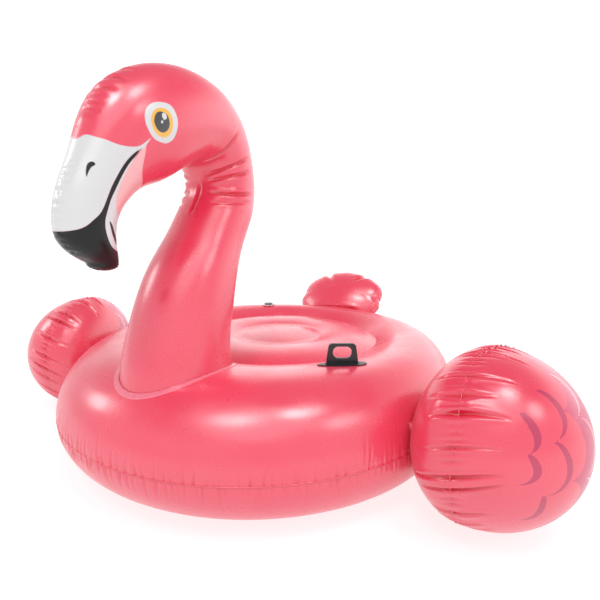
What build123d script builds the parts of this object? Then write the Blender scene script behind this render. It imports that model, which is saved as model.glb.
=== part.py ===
from build123d import *
import os
from math import cos, hypot, radians, sin

# Inflatable bird raft.  Millimetres, +Z up, the bird looks along -Y, its left side is +X.
# The origin is on the ground under the middle of the raft's own box.

# --- the round raft: a ring tube about a deck that two round inner walls hold down ---
raft_radius = 690.0         # plan radius at the welded side seam
raft_height = 366.0         # ground to the crest of the ring tube
seam_height = 170.0         # ground to the side seam
crest_inset = 155.0         # side seam to the crest, in plan
deck_radius = 380.0         # outer inner-wall, the crease between ring tube and deck
deck_offset = 125.0         # the deck sits back from the raft's middle, clear of the neck
deck_drop = 44.0            # depth of that crease below the crest
dome_radius = 165.0         # inner inner-wall, the crease round the middle dome
dome_crease_drop = 32.0     # depth of that crease below the crest
roll_drop = 18.0            # crest of the deck roll below the ring crest
dome_drop = 15.0            # top of the dome below the ring crest
under_lift = 30.0           # how far the inner walls pull the underside up
ground_sink = 6.0           # how much of the round underside is pressed flat by the ground
tube_turns = (0, 20, 40, 60, 78, 90)    # places round the tube, side seam to crest, where it is shaped
slope_shares = (0.4, 0.75, 1.0)         # and on from the crest to the deck crease
inner_crease_lift = 24.0    # the inner wall pulls the underside up a little less
skin = 3.0                  # wall of every air chamber
weld_gap = 0.3              # clearance where two sheets meet edge to edge

# --- inner walls ---
wall_thickness = 2.0
air_hole_radius = 30.0
outer_wall_holes = 10
inner_wall_holes = 6
middle_wall_clear = 1.0     # between the middle wall and the bowed deck sheets

# --- neck and head, one hooked chamber: sections from the foot up and over to the beak tip ---
# place behind the raft's front edge, height above the crest of the ring tube, tilt of the
# section, half depth, half width
neck_outline = [
    (256, -66, 0, 166, 151),
    (260, 14, -3, 158, 148),
    (272, 84, -6, 146, 143),
    (299, 169, -5, 140, 138),
    (348, 284, -2, 128, 127),
    (396, 356, -2, 119, 118),
    (445, 432, 0, 116, 115),
    (472, 506, 6, 108, 107),
    (466, 566, 15, 108, 105),
    (442, 619, 31, 114, 108),
    (392, 660, 51, 125, 114),
    (318, 672, 74, 134, 122),
    (235, 657, 92, 140, 124),
    (162, 626, 107, 133, 118),
    (104, 583, 123, 114, 103),
    (67, 534, 138, 91, 86),
    (35, 486, 148, 77, 73),
    (9, 440, 156, 72, 65),
    (-3, 393, 164, 70, 61),
    (-2, 353, 168, 67, 58),
    (11, 323, 171, 54, 48),
    (30, 301, 173, 32, 35),
]
neck_sections = [(behind - raft_radius, raft_height + above, tilt, depth, width)
                 for behind, above, tilt, depth, width in neck_outline]
foot_flange_width = 13.0
foot_sheet = 2.0            # flange and closing panel at the foot of the neck
flange_gap = 1.0            # between a flange's inner edge and the wall it runs round

# --- wings: an outer and an inner panel welded at one swept rim ---
wing_stand_off = 116.0      # middle of the rim, out from the raft's side seam
wing_rim_x = raft_radius + wing_stand_off
wing_rim_y = -145.0
wing_rim_z = 220.0
wing_half_length = 244.0
wing_half_height = 230.0
wing_outer_depth = 236.0
wing_inner_depth = 150.0
wing_sweep = 25.0           # the rear edge of the rim stands further out
wing_root_gap = 6.0         # air between the raft's side and the wing pressed against it
wing_root_low = 205.0       # weld patch at the root, in height and fore-and-aft
wing_root_high = 250.0
wing_root_half_length = 105.0

# --- tail: a fan of two panels on the back of the ring tube ---
tail_behind = 32.0          # middle of the fan, behind the raft's rear edge
tail_rise = 26.0            # and above the crest of the ring tube
tail_centre_y = raft_radius + tail_behind
tail_centre_z = raft_height + tail_rise
tail_half_width = 214.0
tail_half_height = 156.0
tail_front_depth = 72.0
tail_rear_depth = 62.0
tail_lean = 44.0            # backwards from upright
tail_flange_width = 11.0

# --- moulded grips on the ring tube ---
grip_round = 56.74          # round the crest from the front
grip_inset = 32.7           # inside the crest
grip_turn = 30.0            # the outer end lies further back
pad_half_length = 71.0
pad_half_width = 24.0
pad_thickness = 3.0
sill_length = 94.0          # flat-topped sill on the pad under the grip
sill_width = 14.0
sill_rise = 6.0             # top of the sill above the ring crest
grip_thickness = 9.0
grip_foot_length = 90.0
grip_top_length = 76.0
grip_height = 50.0          # hinge line to the top
grip_hole_half_width = 27.0
grip_hole_top = 41.5        # above the hinge line
grip_hole_round = 17.0
grip_corner = 11.0
move_gap = 0.3              # clearance beside anything that moves

# --- stem valves, one for each small chamber ---
stem_flange_radius = 15.0
stem_flange_rise = 0.6
stem_bore = 4.0             # radius
stem_wall = 3.0
stem_length = 19.0
stem_lip_radius = 9.5
stem_lip = 2.1
plug_fit = 0.2
plug_depth = 7.0
plug_head_radius = 8.0
plug_head = 2.0
flap_thickness = 0.8
stem_sheet = 3.6            # thickness of the flange
flap_inset = 0.5            # the flap is this much smaller than the stem
neck_valve_section = 3      # the neck's valve sits at this section, turned this far from the nape
neck_valve_turn = 50.0
wing_valve_turn = 118.0     # round the inner panel from its middle, and up from the rim's level
wing_valve_up = 30.0
tail_valve_turn = 72.0
tail_valve_up = 12.0

# --- main valve on the crest of the ring tube ---
main_round = -145.56        # round the crest from the front, towards the right
main_inset = 4.5
main_flange_radius = 32.0
main_socket_radius = 17.0   # inside of the socket
main_socket_wall = 2.5
main_depth = 22.0
main_insert_bore = 11.0
main_cap_radius = 20.0
main_cap_height = 6.0
main_rise = 3.0             # top of the insert above the flange
main_turn = 30.0            # the cap's tether points this way
main_sheet = 3.0            # thickness of the base's flange
main_flap_rim = 3.0         # the flap laps the insert's end by this much
main_cap_round = 1.8
main_cap_wall = 2.5
main_cap_hollow = 2.0       # the recess under the cap's top
tether_width = 7.0
tether_length = 8.0
tether_thickness = 1.4
tether_gap = 1.0

everything = 4000.0         # side of a block larger than the whole raft


def half_space(x=0, y=0, z=0):
    """A block that fills one side of the plane through the origin, on the side named."""
    return Pos(x * everything / 2, y * everything / 2, z * everything / 2) * Box(
        everything, everything, everything)


def circle_at(radius, z):
    """One round section of the ring tube; smaller circles shift back towards the deck."""
    shift = deck_offset * (raft_radius - min(radius, raft_radius)) / (raft_radius - deck_radius)
    return Pos(0, shift, z) * Circle(radius)


def crest_point(round_by, inset):
    """A point in plan, turned this far round the crest from the front and this far inside it."""
    reach = raft_radius - crest_inset - inset
    shift = deck_offset * crest_inset / (raft_radius - deck_radius)
    return reach * sin(radians(round_by)), shift - reach * cos(radians(round_by))


def ring_half(grow, up):
    """Upper or lower half of the ring tube's outline, grown outwards by grow."""
    crest_radius = raft_radius - crest_inset
    if up:
        rise = raft_height - seam_height + grow
        fall = deck_drop
    else:
        rise = seam_height + ground_sink + grow
        fall = under_lift + ground_sink
    side = 1 if up else -1
    sections = []
    for turn in tube_turns:
        radius = crest_radius + (crest_inset + grow) * cos(radians(turn))
        sections.append(circle_at(radius, seam_height + side * rise * sin(radians(turn))))
    for share in slope_shares:
        radius = crest_radius - share * (crest_radius - deck_radius)
        sections.append(circle_at(radius, seam_height + side * (rise - fall * share ** 2)))
    return loft(sections)


def ring_top(grow=0.0):
    return ring_half(grow, True)


def ring_bottom(grow=0.0):
    return ring_half(grow, False) & Pos(0, 0, -grow) * half_space(z=1)


def deck_axis_hole(radius, low=-50.0, high=600.0):
    return Pos(0, deck_offset, (low + high) / 2) * Cylinder(radius, high - low)


def deck_line(up):
    """Heights of the deck at its outer crease, roll, inner crease and dome."""
    if up:
        drops = (deck_drop, roll_drop, dome_crease_drop, dome_drop)
        return [raft_height - drop for drop in drops]
    return [under_lift, skin, inner_crease_lift, skin]


def deck_sheet(up):
    """Top or bottom sheet of the deck: a roll between the two creases, then the dome."""
    crease, roll, inner_crease, dome = deck_line(up)
    shift = -skin if up else skin
    outer = deck_radius - weld_gap
    roll_radius = (deck_radius + dome_radius) / 2
    with BuildSketch(Plane.XZ) as band:
        with BuildLine():
            Spline((outer, crease), (roll_radius, roll), (dome_radius, inner_crease))
            TangentArc((0, dome), (dome_radius, inner_crease), tangent=(1, 0))
            Line((0, dome), (0, dome + shift))
            TangentArc((0, dome + shift), (dome_radius, inner_crease + shift), tangent=(1, 0))
            Spline((dome_radius, inner_crease + shift), (roll_radius, roll + shift),
                   (outer, crease + shift))
            Line((outer, crease + shift), (outer, crease))
        make_face()
    return Pos(0, deck_offset, 0) * revolve(band.sketch, Axis.Z)


def raft_sheets():
    hole = deck_axis_hole(deck_radius)
    top = ring_top() - ring_top(-skin) - hole
    bottom = ring_bottom() - ring_bottom(-skin) - hole
    seam = Pos(0, 0, seam_height) * Box(everything, everything, weld_gap)
    return {
        "ring_top_sheet": top - seam,
        "ring_bottom_sheet": bottom - seam,
        "deck_top_sheet": deck_sheet(True),
        "deck_bottom_sheet": deck_sheet(False),
    }


def inner_wall(radius, top, bottom, holes):
    """A round wall that ties the top sheet to the bottom one, with holes that let air through."""
    low = bottom + skin + weld_gap
    high = top - skin - weld_gap
    wall = Cylinder(radius, high - low) - Cylinder(radius - wall_thickness, high - low)
    for step in range(holes):
        turn = 360 / holes * step
        air_hole = Rot(0, 90, 0) * Cylinder(air_hole_radius, radius / 3)
        wall -= Rot(0, 0, turn) * Pos(radius, 0, 0) * air_hole
    return Pos(0, deck_offset, (low + high) / 2) * wall


def inner_walls():
    top = deck_line(True)
    under = deck_line(False)
    return {
        "outer_inner_wall": inner_wall(deck_radius - weld_gap, top[0], under[0], outer_wall_holes),
        "middle_inner_wall": inner_wall(dome_radius, top[2] - middle_wall_clear,
                                        under[2] + middle_wall_clear, inner_wall_holes),
    }


def neck_plane(section):
    """The plane of one neck section: its x runs across the bird, its y from throat to nape."""
    y, z, tilt = section[:3]
    along = (0, -sin(radians(tilt)), cos(radians(tilt)))
    return Plane(origin=(0, y, z), x_dir=(1, 0, 0), z_dir=along)


def neck_solid(grow=0.0):
    """The whole hooked neck and head, grown outwards by grow."""
    sections = []
    for section in neck_sections:
        outline = Ellipse(section[4] + grow, section[3] + grow)
        sections.append(neck_plane(section) * outline)
    return loft(sections)


def neck_sheet_section(section):
    """One section through the left sheet of the neck: half of an oval ring."""
    depth, width = section[3:]
    with BuildSketch() as half:
        with BuildLine():
            outside = EllipticalCenterArc((0, 0), width, depth, start_angle=-90, arc_size=180)
            inside = EllipticalCenterArc((0, 0), width - skin, depth - skin,
                                         start_angle=-90, arc_size=180)
            Line(outside @ 1, inside @ 1)
            Line(inside @ 0, outside @ 0)
        make_face()
    return neck_plane(section) * half.sketch


def neck_end_section():
    """The left half of the blunt end of the beak."""
    depth, width = neck_sections[-1][3:]
    with BuildSketch() as half:
        with BuildLine():
            rim = EllipticalCenterArc((0, 0), width, depth, start_angle=-90, arc_size=180)
            Line(rim @ 1, rim @ 0)
        make_face()
    return half.sketch


def neck_left():
    sheet = loft([neck_sheet_section(section) for section in neck_sections])
    end = neck_plane(neck_sections[-1]) * extrude(neck_end_section(), skin)
    beyond = ring_top() + deck_axis_hole(deck_radius, high=raft_height)
    return Pos(weld_gap / 2, 0, 0) * (sheet + end) - beyond


def neck_pieces():
    raft = ring_top()
    shoe = ring_top(foot_sheet) - raft
    low_block = Pos(0, 0, neck_sections[2][1]) * half_space(z=-1)
    flange = (shoe & neck_solid(foot_flange_width)) - neck_solid(flange_gap)
    flange -= deck_axis_hole(deck_radius + weld_gap)
    panel = shoe & neck_solid(-skin - flange_gap)
    left = neck_left()
    return {
        "neck_left_skin": left,
        "neck_right_skin": mirror(left, Plane.YZ),
        "neck_foot_flange": flange & low_block,
        "neck_foot_panel": panel & low_block,
    }


def egg(depth, half_length, half_height):
    return scale(Sphere(1), by=(depth, half_length, half_height))


def wing_place():
    return Pos(wing_rim_x, wing_rim_y, wing_rim_z) * Rot(0, 0, -wing_sweep)


def wing_panel(depth, side):
    """One panel of the left wing: half an egg, its wall inside its own outline."""
    whole = egg(depth, wing_half_length, wing_half_height)
    hollow = egg(depth - skin, wing_half_length - skin, wing_half_height - skin)
    rim = Pos(side * weld_gap / 2, 0, 0) * half_space(x=side)
    outline = wing_place() * (whole & rim) & half_space(z=1)
    hollow = wing_place() * (hollow & rim) & Pos(0, 0, skin) * half_space(z=1)
    if side < 0:
        outline -= ring_both(wing_root_gap)
        hollow -= ring_both(wing_root_gap + skin)
    return outline - hollow


def ring_both(grow):
    return ring_half(grow, True) + ring_half(grow, False)


def wing_pieces():
    middle = (wing_root_low + wing_root_high) / 2
    band = Pos(wing_rim_x - wing_inner_depth, wing_rim_y, middle) * Box(
        400, 2 * wing_root_half_length, wing_root_high - wing_root_low)
    patch = (ring_half(wing_root_gap - weld_gap, True) - ring_top(weld_gap)) & band
    left = {
        "wing_outer_skin": wing_panel(wing_outer_depth, 1),
        "wing_inner_skin": wing_panel(wing_inner_depth, -1),
        "wing_root_patch": patch,
    }
    pieces = {}
    for name, solid in left.items():
        pieces["left_" + name] = solid
        pieces["right_" + name] = mirror(solid, Plane.YZ)
    return pieces


def tail_place():
    return Pos(0, tail_centre_y, tail_centre_z) * Rot(-tail_lean, 0, 0)


def tail_panel(depth, side, grow=0.0):
    whole = scale(Sphere(1), by=(tail_half_width + grow, depth + grow, tail_half_height + grow))
    return tail_place() * (whole & Pos(0, side * weld_gap / 2, 0) * half_space(y=side))


def tail_pieces():
    raft = ring_both(weld_gap)
    front = tail_panel(tail_front_depth, -1) - tail_panel(tail_front_depth, -1, -skin) - raft
    rear = tail_panel(tail_rear_depth, 1) - tail_panel(tail_rear_depth, 1, -skin) - raft
    shoe = ring_both(foot_sheet) - raft
    front_half = tail_panel(tail_front_depth, -1, tail_flange_width)
    grown = front_half + tail_panel(tail_rear_depth, 1, tail_flange_width)
    inside = tail_panel(tail_front_depth, -1, flange_gap) + tail_panel(tail_rear_depth, 1, flange_gap)
    return {
        "tail_front_skin": front,
        "tail_rear_skin": rear,
        "tail_root_flange": (shoe & grown) - inside,
    }


def grip_place():
    x, y = crest_point(grip_round, grip_inset)
    hinge = raft_height + sill_rise + move_gap + grip_thickness / 2
    return Pos(x, y, hinge) * Rot(0, 0, grip_turn)


def grip_pad():
    """Thin oval patch welded on the ring tube, with a flat sill under the grip."""
    x, y = crest_point(grip_round, grip_inset)
    flat_place = Pos(x, y, 0) * Rot(0, 0, grip_turn)
    oval = extrude(Ellipse(pad_half_length, pad_half_width), 60, both=True)
    oval = flat_place * Pos(0, 0, raft_height) * oval
    sill_high = raft_height + sill_rise
    sill = flat_place * Pos(0, 0, sill_high - 20) * Box(sill_length, sill_width, 40)
    raft = ring_top(weld_gap)
    return ((ring_top(weld_gap + pad_thickness) & oval) + sill) - raft


def grip_bail():
    """The hand grip: a tapered plate with a rounded hand-hole, round along its hinge edge."""
    foot = grip_foot_length / 2
    top = grip_top_length / 2
    with BuildSketch(Plane.XZ) as face:
        with BuildLine():
            Polyline((-foot, 0), (foot, 0), (top, grip_height), (-top, grip_height), (-foot, 0))
        make_face()
        fillet(face.vertices().group_by(Axis.Y)[-1], grip_corner)
        with BuildSketch(mode=Mode.SUBTRACT) as hand_hole:
            with Locations((0, grip_hole_top - grip_hole_round)):
                RectangleRounded(2 * grip_hole_half_width, 2 * grip_hole_round, grip_hole_round - 1)
    plate = extrude(face.sketch, grip_thickness / 2, both=True)
    barrel = Rot(0, 90, 0) * Cylinder(grip_thickness / 2, grip_foot_length)
    return grip_place() * (plate + barrel)


def grips():
    left = {"grip_pad": grip_pad(), "grip": grip_bail()}
    pieces = {}
    for name, solid in left.items():
        pieces["left_" + name] = solid
        pieces["right_" + name] = mirror(solid, Plane.YZ)
    return pieces


def ring_place(round_by, inset):
    """Level place on the crest side of the ring tube, over a point beside the crest."""
    x, y = crest_point(round_by, inset)
    radius = raft_radius
    for step in range(40):
        shift = deck_offset * (raft_radius - radius) / (raft_radius - deck_radius)
        radius = hypot(x, y - shift)
    crest_radius = raft_radius - crest_inset
    share = (crest_radius - radius) / (crest_radius - deck_radius)
    return Plane(origin=(x, y, raft_height - deck_drop * share ** 2), z_dir=(0, 0, 1))


def neck_valve_plane():
    """On the right of the nape, a little above the foot."""
    y, z, tilt, depth, width = neck_sections[neck_valve_section]
    below = neck_sections[neck_valve_section - 1]
    above = neck_sections[neck_valve_section + 1]
    round_by = radians(neck_valve_turn)
    nape = (0, cos(radians(tilt)), sin(radians(tilt)))
    out = depth * cos(round_by)
    lean = ((above[0] + above[3]) - (below[0] + below[3])) / (above[1] - below[1])
    normal = (-sin(round_by), cos(round_by), -cos(round_by) * lean)
    return Plane(origin=(-width * sin(round_by), y + out * nape[1], z + out * nape[2]), z_dir=normal)


def egg_plane(place, sizes, round_by, up_by):
    """A plane on the surface of an egg, its z outwards."""
    across, along, height = sizes
    heading = (cos(radians(round_by)) * cos(radians(up_by)), sin(radians(round_by)) * cos(radians(up_by)),
               sin(radians(up_by)))
    point = (across * heading[0], along * heading[1], height * heading[2])
    normal = (heading[0] / across, heading[1] / along, heading[2] / height)
    return Plane(place * Plane(origin=point, z_dir=normal).location)


def stem_valves():
    wing = (wing_inner_depth, wing_half_length, wing_half_height)
    left = egg_plane(wing_place(), wing, wing_valve_turn, wing_valve_up)
    fan = (tail_half_width, tail_rear_depth, tail_half_height)
    tail = egg_plane(tail_place(), fan, tail_valve_turn, tail_valve_up)
    right = Plane(origin=(-left.origin.X, left.origin.Y, left.origin.Z),
                  z_dir=(-left.z_dir.X, left.z_dir.Y, left.z_dir.Z))
    return {"neck": neck_valve_plane(), "left_wing": left, "right_wing": right, "tail": tail}


def stem_valve(name, plane):
    """Welded flange, pull-out stem, stopper and the flap that holds the air in meanwhile."""
    outside = stem_bore + stem_wall
    flange = Pos(0, 0, stem_flange_rise - stem_sheet / 2) * Cylinder(stem_flange_radius, stem_sheet)
    flange -= Cylinder(outside + move_gap, 3 * stem_sheet)
    lip_low = stem_flange_rise + move_gap
    lip_high = lip_low + stem_lip
    low = lip_high - stem_length
    stem = Pos(0, 0, (low + lip_high) / 2) * Cylinder(outside, stem_length)
    stem += Pos(0, 0, lip_low + stem_lip / 2) * Cylinder(stem_lip_radius, stem_lip)
    stem -= Cylinder(stem_bore, 4 * stem_length)
    shank = Pos(0, 0, lip_high - plug_depth / 2) * Cylinder(stem_bore - plug_fit, plug_depth)
    head_low = lip_high + move_gap
    neck = Pos(0, 0, lip_high + move_gap / 2) * Cylinder(stem_bore - plug_fit, move_gap)
    head = Pos(0, 0, head_low + plug_head / 2) * Cylinder(plug_head_radius, plug_head)
    flap_middle = low - move_gap - flap_thickness / 2
    flap = Pos(0, 0, flap_middle) * Cylinder(outside - flap_inset, flap_thickness)
    pieces = {"flange": flange, "stem": stem, "stopper": shank + neck + head, "flap": flap}
    return {name + "_valve_" + part: plane.location * solid for part, solid in pieces.items()}


def main_valve():
    """Wide valve: a welded base with a socket, the insert, its flap, and a cap on a tether."""
    place = ring_place(main_round, main_inset).location * Rot(0, 0, main_turn)
    wall = main_socket_radius + main_socket_wall
    base_top = main_rise
    base = Pos(0, 0, base_top - main_sheet / 2) * Cylinder(main_flange_radius, main_sheet)
    base += Pos(0, 0, base_top - main_depth / 2) * Cylinder(wall, main_depth)
    base -= Cylinder(main_socket_radius, 4 * main_depth)
    insert_outside = main_socket_radius - weld_gap
    insert = Pos(0, 0, base_top - main_depth / 2) * Cylinder(insert_outside, main_depth)
    insert -= Cylinder(main_insert_bore, 4 * main_depth)
    flap_low = base_top - main_depth - move_gap - flap_thickness
    flap = Cylinder(main_insert_bore + main_flap_rim, flap_thickness)
    flap = Pos(0, 0, flap_low + flap_thickness / 2) * flap
    cap_low = base_top + move_gap
    cap = Pos(0, 0, cap_low + main_cap_height / 2) * Cylinder(main_cap_radius, main_cap_height)
    cap = fillet(cap.edges().group_by(Axis.Z)[-1], main_cap_round)
    hollow = Cylinder(main_cap_radius - main_cap_wall, main_cap_hollow)
    cap -= Pos(0, 0, cap_low + main_cap_hollow / 2) * hollow
    tether_low = base_top + move_gap
    tether_out = main_cap_radius + tether_gap + tether_length / 2
    tether = Pos(tether_out, 0, tether_low + tether_thickness / 2) * Box(
        tether_length, tether_width, tether_thickness)
    pieces = {"base": base, "insert": insert, "flap": flap, "cap": cap, "tether": tether}
    return {"main_valve_" + part: place * solid for part, solid in pieces.items()}


def cut_for_valves(pieces):
    """Each flange fills a round hole in its own sheet."""
    sheets = {
        "neck": "neck_right_skin",
        "left_wing": "left_wing_inner_skin",
        "right_wing": "right_wing_inner_skin",
        "tail": "tail_rear_skin",
    }
    hole = Cylinder(stem_flange_radius + weld_gap, 60)
    for name, plane in stem_valves().items():
        pieces[sheets[name]] -= plane.location * hole
    wide_hole = Cylinder(main_flange_radius + weld_gap, 60)
    place = ring_place(main_round, main_inset).location
    pieces["ring_top_sheet"] -= place * wide_hole
    return pieces


def all_pieces():
    pieces = {}
    pieces.update(raft_sheets())
    pieces.update(inner_walls())
    pieces.update(neck_pieces())
    pieces.update(wing_pieces())
    pieces.update(tail_pieces())
    pieces.update(grips())
    pieces = cut_for_valves(pieces)
    for name, plane in stem_valves().items():
        pieces.update(stem_valve(name, plane))
    pieces.update(main_valve())
    return pieces


os.makedirs("parts", exist_ok=True)
model = all_pieces()
front = min(solid.bounding_box().min.Y for solid in model.values())
back = max(solid.bounding_box().max.Y for solid in model.values())
for node_name, node_solid in model.items():
    export_step(Pos(0, -(front + back) / 2, 0) * node_solid, "parts/" + node_name + ".step")
print("moved along Y by", -(front + back) / 2)
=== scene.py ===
import bpy
import math
import numpy as np
from mathutils import Matrix, Vector


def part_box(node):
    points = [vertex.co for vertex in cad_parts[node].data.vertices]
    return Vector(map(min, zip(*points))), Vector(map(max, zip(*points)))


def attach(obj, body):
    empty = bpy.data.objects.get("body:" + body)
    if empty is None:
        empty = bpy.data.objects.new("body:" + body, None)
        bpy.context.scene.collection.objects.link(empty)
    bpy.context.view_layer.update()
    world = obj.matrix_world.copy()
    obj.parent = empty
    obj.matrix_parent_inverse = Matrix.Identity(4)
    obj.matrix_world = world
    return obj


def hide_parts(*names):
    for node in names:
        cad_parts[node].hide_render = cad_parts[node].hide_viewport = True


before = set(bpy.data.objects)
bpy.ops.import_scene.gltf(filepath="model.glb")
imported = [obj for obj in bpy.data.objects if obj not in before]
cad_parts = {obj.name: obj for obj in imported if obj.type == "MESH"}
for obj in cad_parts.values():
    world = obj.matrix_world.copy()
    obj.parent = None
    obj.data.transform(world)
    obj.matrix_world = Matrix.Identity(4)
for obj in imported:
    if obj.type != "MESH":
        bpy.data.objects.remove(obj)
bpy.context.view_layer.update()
print("frame loaded,", len(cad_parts), "nodes")


# small helpers

def smooth(low, high, value):
    t = np.clip((value - low) / (high - low), 0, 1)
    return t * t * (3 - 2 * t)


def gridMesh(name, points, startPole=False, endPole=False):
    # points is [rows, columns, 3]; the columns close, and the first or last row may close on a point
    rows, columns = points.shape[:2]
    flat = points.reshape(-1, 3)
    index = np.arange(rows * columns).reshape(rows, columns)
    nextColumn = np.roll(index, -1, axis=1)
    a, b = index[:-1], index[1:]
    c, d = nextColumn[1:], nextColumn[:-1]
    faces = np.stack([a, b, c, d], -1).reshape(-1, 4).tolist()
    verts = flat.tolist()
    if startPole:
        verts.append(points[0].mean(0).tolist())
        faces += [[len(verts) - 1, int(index[0, k]), int(nextColumn[0, k])] for k in range(columns)]
    if endPole:
        verts.append(points[-1].mean(0).tolist())
        faces += [[len(verts) - 1, int(nextColumn[-1, k]), int(index[-1, k])] for k in range(columns)]
    mesh = bpy.data.meshes.new(name)
    mesh.from_pydata(verts, [], faces)
    mesh.validate()
    mesh.polygons.foreach_set("use_smooth", [True] * len(mesh.polygons))
    thing = bpy.data.objects.new(name, mesh)
    bpy.context.scene.collection.objects.link(thing)
    return thing


def faceOutwards(thing):
    mesh = thing.data
    mesh.update()
    verts = np.empty(len(mesh.vertices) * 3)
    mesh.vertices.foreach_get("co", verts)
    verts = verts.reshape(-1, 3)
    mesh.calc_loop_triangles()
    tris = np.empty(len(mesh.loop_triangles) * 3, int)
    mesh.loop_triangles.foreach_get("vertices", tris)
    corner = verts[tris.reshape(-1, 3)]
    volume = np.einsum("ij,ij->i", corner[:, 0], np.cross(corner[:, 1], corner[:, 2])).sum()
    if volume < 0:
        mesh.flip_normals()
    return thing


def rowNormals(points):
    along = np.gradient(points, axis=0)
    across = (np.roll(points, -1, axis=1) - np.roll(points, 1, axis=1)) / 2
    normal = np.cross(along, across)
    return normal / np.maximum(np.linalg.norm(normal, axis=-1, keepdims=True), 1e-12)


def setAttribute(thing, name, values):
    mesh = thing.data
    full = np.zeros(len(mesh.vertices))
    full[:values.size] = values.ravel()
    if values.size < full.size:
        full[values.size:] = values.ravel()[-1]
    layer = mesh.attributes.new(name, "FLOAT", "POINT")
    layer.data.foreach_set("value", full)


def naturalSpline(knots, rows, at):
    # natural cubic curve through rows of values
    count = len(knots)
    step = np.diff(knots)
    values = np.asarray(rows, float)
    matrix = np.zeros((count, count))
    right = np.zeros(values.shape)
    matrix[0, 0] = matrix[-1, -1] = 1
    for k in range(1, count - 1):
        matrix[k, k - 1:k + 2] = (step[k - 1], 2 * (step[k - 1] + step[k]), step[k])
        ahead, behind = (values[k + 1] - values[k]) / step[k], (values[k] - values[k - 1]) / step[k - 1]
        right[k] = 6 * (ahead - behind)
    bend = np.linalg.solve(matrix, right)
    k = np.clip(np.searchsorted(knots, at) - 1, 0, count - 2)
    t = (at - knots[k])[:, None]
    size = step[k][:, None]
    rest = size - t
    curve = (bend[k] * rest ** 3 + bend[k + 1] * t ** 3) / (6 * size)
    curve += (values[k] / size - bend[k] * size / 6) * rest
    return curve + (values[k + 1] / size - bend[k + 1] * size / 6) * t


weld = {"dipDepth": 0.0016, "dipWidth": 0.009, "ridgeHeight": 0.0020, "ridgeWidth": 0.0028}


def weldGroove(away):
    # the weld itself: a thin ridge in a shallow dip
    dip = weld["dipDepth"] * np.exp(-(away / weld["dipWidth"]) ** 2)
    return dip - weld["ridgeHeight"] * np.exp(-(away / weld["ridgeWidth"]) ** 2)


def seamPuckers(along, away, total, look, seed):
    # depth of the short folds that run away from a weld, on a grid of places along and away from it
    rng = np.random.default_rng(seed)
    count = max(3, int(round(total / look["spacing"])))
    places = (np.arange(count) + rng.uniform(-0.33, 0.33, count)) * total / count
    depth = np.zeros(np.broadcast(along, away).shape)
    for place in places:
        wide = look["width"] * rng.uniform(0.7, 1.35)
        reach = look["reach"] * rng.uniform(0.5, 1.2)
        deep = look["depth"] * rng.uniform(0.45, 1.3)
        lean = rng.uniform(-0.12, 0.12)
        apart = along - place + lean * away
        apart = (apart + total / 2) % total - total / 2
        fade = np.clip(1 - away / reach, 0, 1) ** 1.2
        slim = wide * (0.5 + 0.5 * fade)
        ridges = np.exp(-((np.abs(apart) - 2.1 * slim) / (1.3 * slim)) ** 2)
        depth += deep * (np.exp(-(apart / slim) ** 2) - 0.28 * ridges) * fade
    return depth * smooth(0.0, 0.004, away)


def creaseProfile(apart, wide, deep):
    # a fold in section: a narrow valley with a low ridge on each side
    ridges = np.exp(-((np.abs(apart) - 2.2 * wide) / (1.4 * wide)) ** 2)
    return deep * (np.exp(-(apart / wide) ** 2) - 0.30 * ridges)


def outlineDistance(points, outline):
    # distance of each point from a closed outline, less than nought inside
    start = np.asarray(outline, float)
    edge = np.roll(start, -1, axis=0) - start
    best = np.full(len(points), 1e9)
    inside = np.zeros(len(points), bool)
    for p, e in zip(start, edge):
        rel = points - p
        t = np.clip((rel @ e) / max(e @ e, 1e-12), 0, 1)
        best = np.minimum(best, np.hypot(*(rel - t[:, None] * e).T))
        q = p + e
        crosses = (p[1] > points[:, 1]) != (q[1] > points[:, 1])
        slope = np.where(crosses, (points[:, 1] - p[1]) / np.where(abs(e[1]) < 1e-12, 1, e[1]), 0)
        inside ^= crosses & (points[:, 0] < p[0] + slope * e[0])
    return np.where(inside, -best, best)


def roundCurve(points, steps=8):
    # a smooth open curve through given points
    p = np.asarray(points, float)
    knots = np.concatenate([[0], np.cumsum(np.hypot(*np.diff(p, axis=0).T))])
    return naturalSpline(knots, p, np.linspace(0, knots[-1], steps * (len(p) - 1) + 1))


def roundLoop(points, steps=8):
    # a smooth closed curve through given points
    p = np.asarray(points, float)
    before, after, last = np.roll(p, 1, 0), np.roll(p, -1, 0), np.roll(p, -2, 0)
    t = (np.arange(steps) / steps)[None, :, None]
    a, b, c, d = (q[:, None] for q in (before, p, after, last))
    curve = b + 0.5 * t * (c - a + t * (2 * a - 5 * b + 4 * c - d + t * (3 * (b - c) + d - a)))
    return curve.reshape(-1, 2)


# materials

def newMaterial(name):
    material = bpy.data.materials.new(name)
    material.use_nodes = True
    tree = material.node_tree
    return material, tree, tree.nodes["Principled BSDF"]


def link(tree, fromSocket, toSocket):
    tree.links.new(fromSocket, toSocket)


def noiseNode(tree, scale, detail=4.0, rough=0.5):
    place = tree.nodes.new("ShaderNodeTexCoord")
    node = tree.nodes.new("ShaderNodeTexNoise")
    node.inputs["Scale"].default_value = scale
    node.inputs["Detail"].default_value = detail
    node.inputs["Roughness"].default_value = rough
    link(tree, place.outputs["Object"], node.inputs["Vector"])
    return node


def mixNode(tree, factor, first, second):
    node = tree.nodes.new("ShaderNodeMix")
    node.data_type = "RGBA"
    for socket, value in ((node.inputs[0], factor), (node.inputs[6], first), (node.inputs[7], second)):
        if isinstance(value, (tuple, float, int)):
            socket.default_value = value
        else:
            link(tree, value, socket)
    return node.outputs[2]


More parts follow.
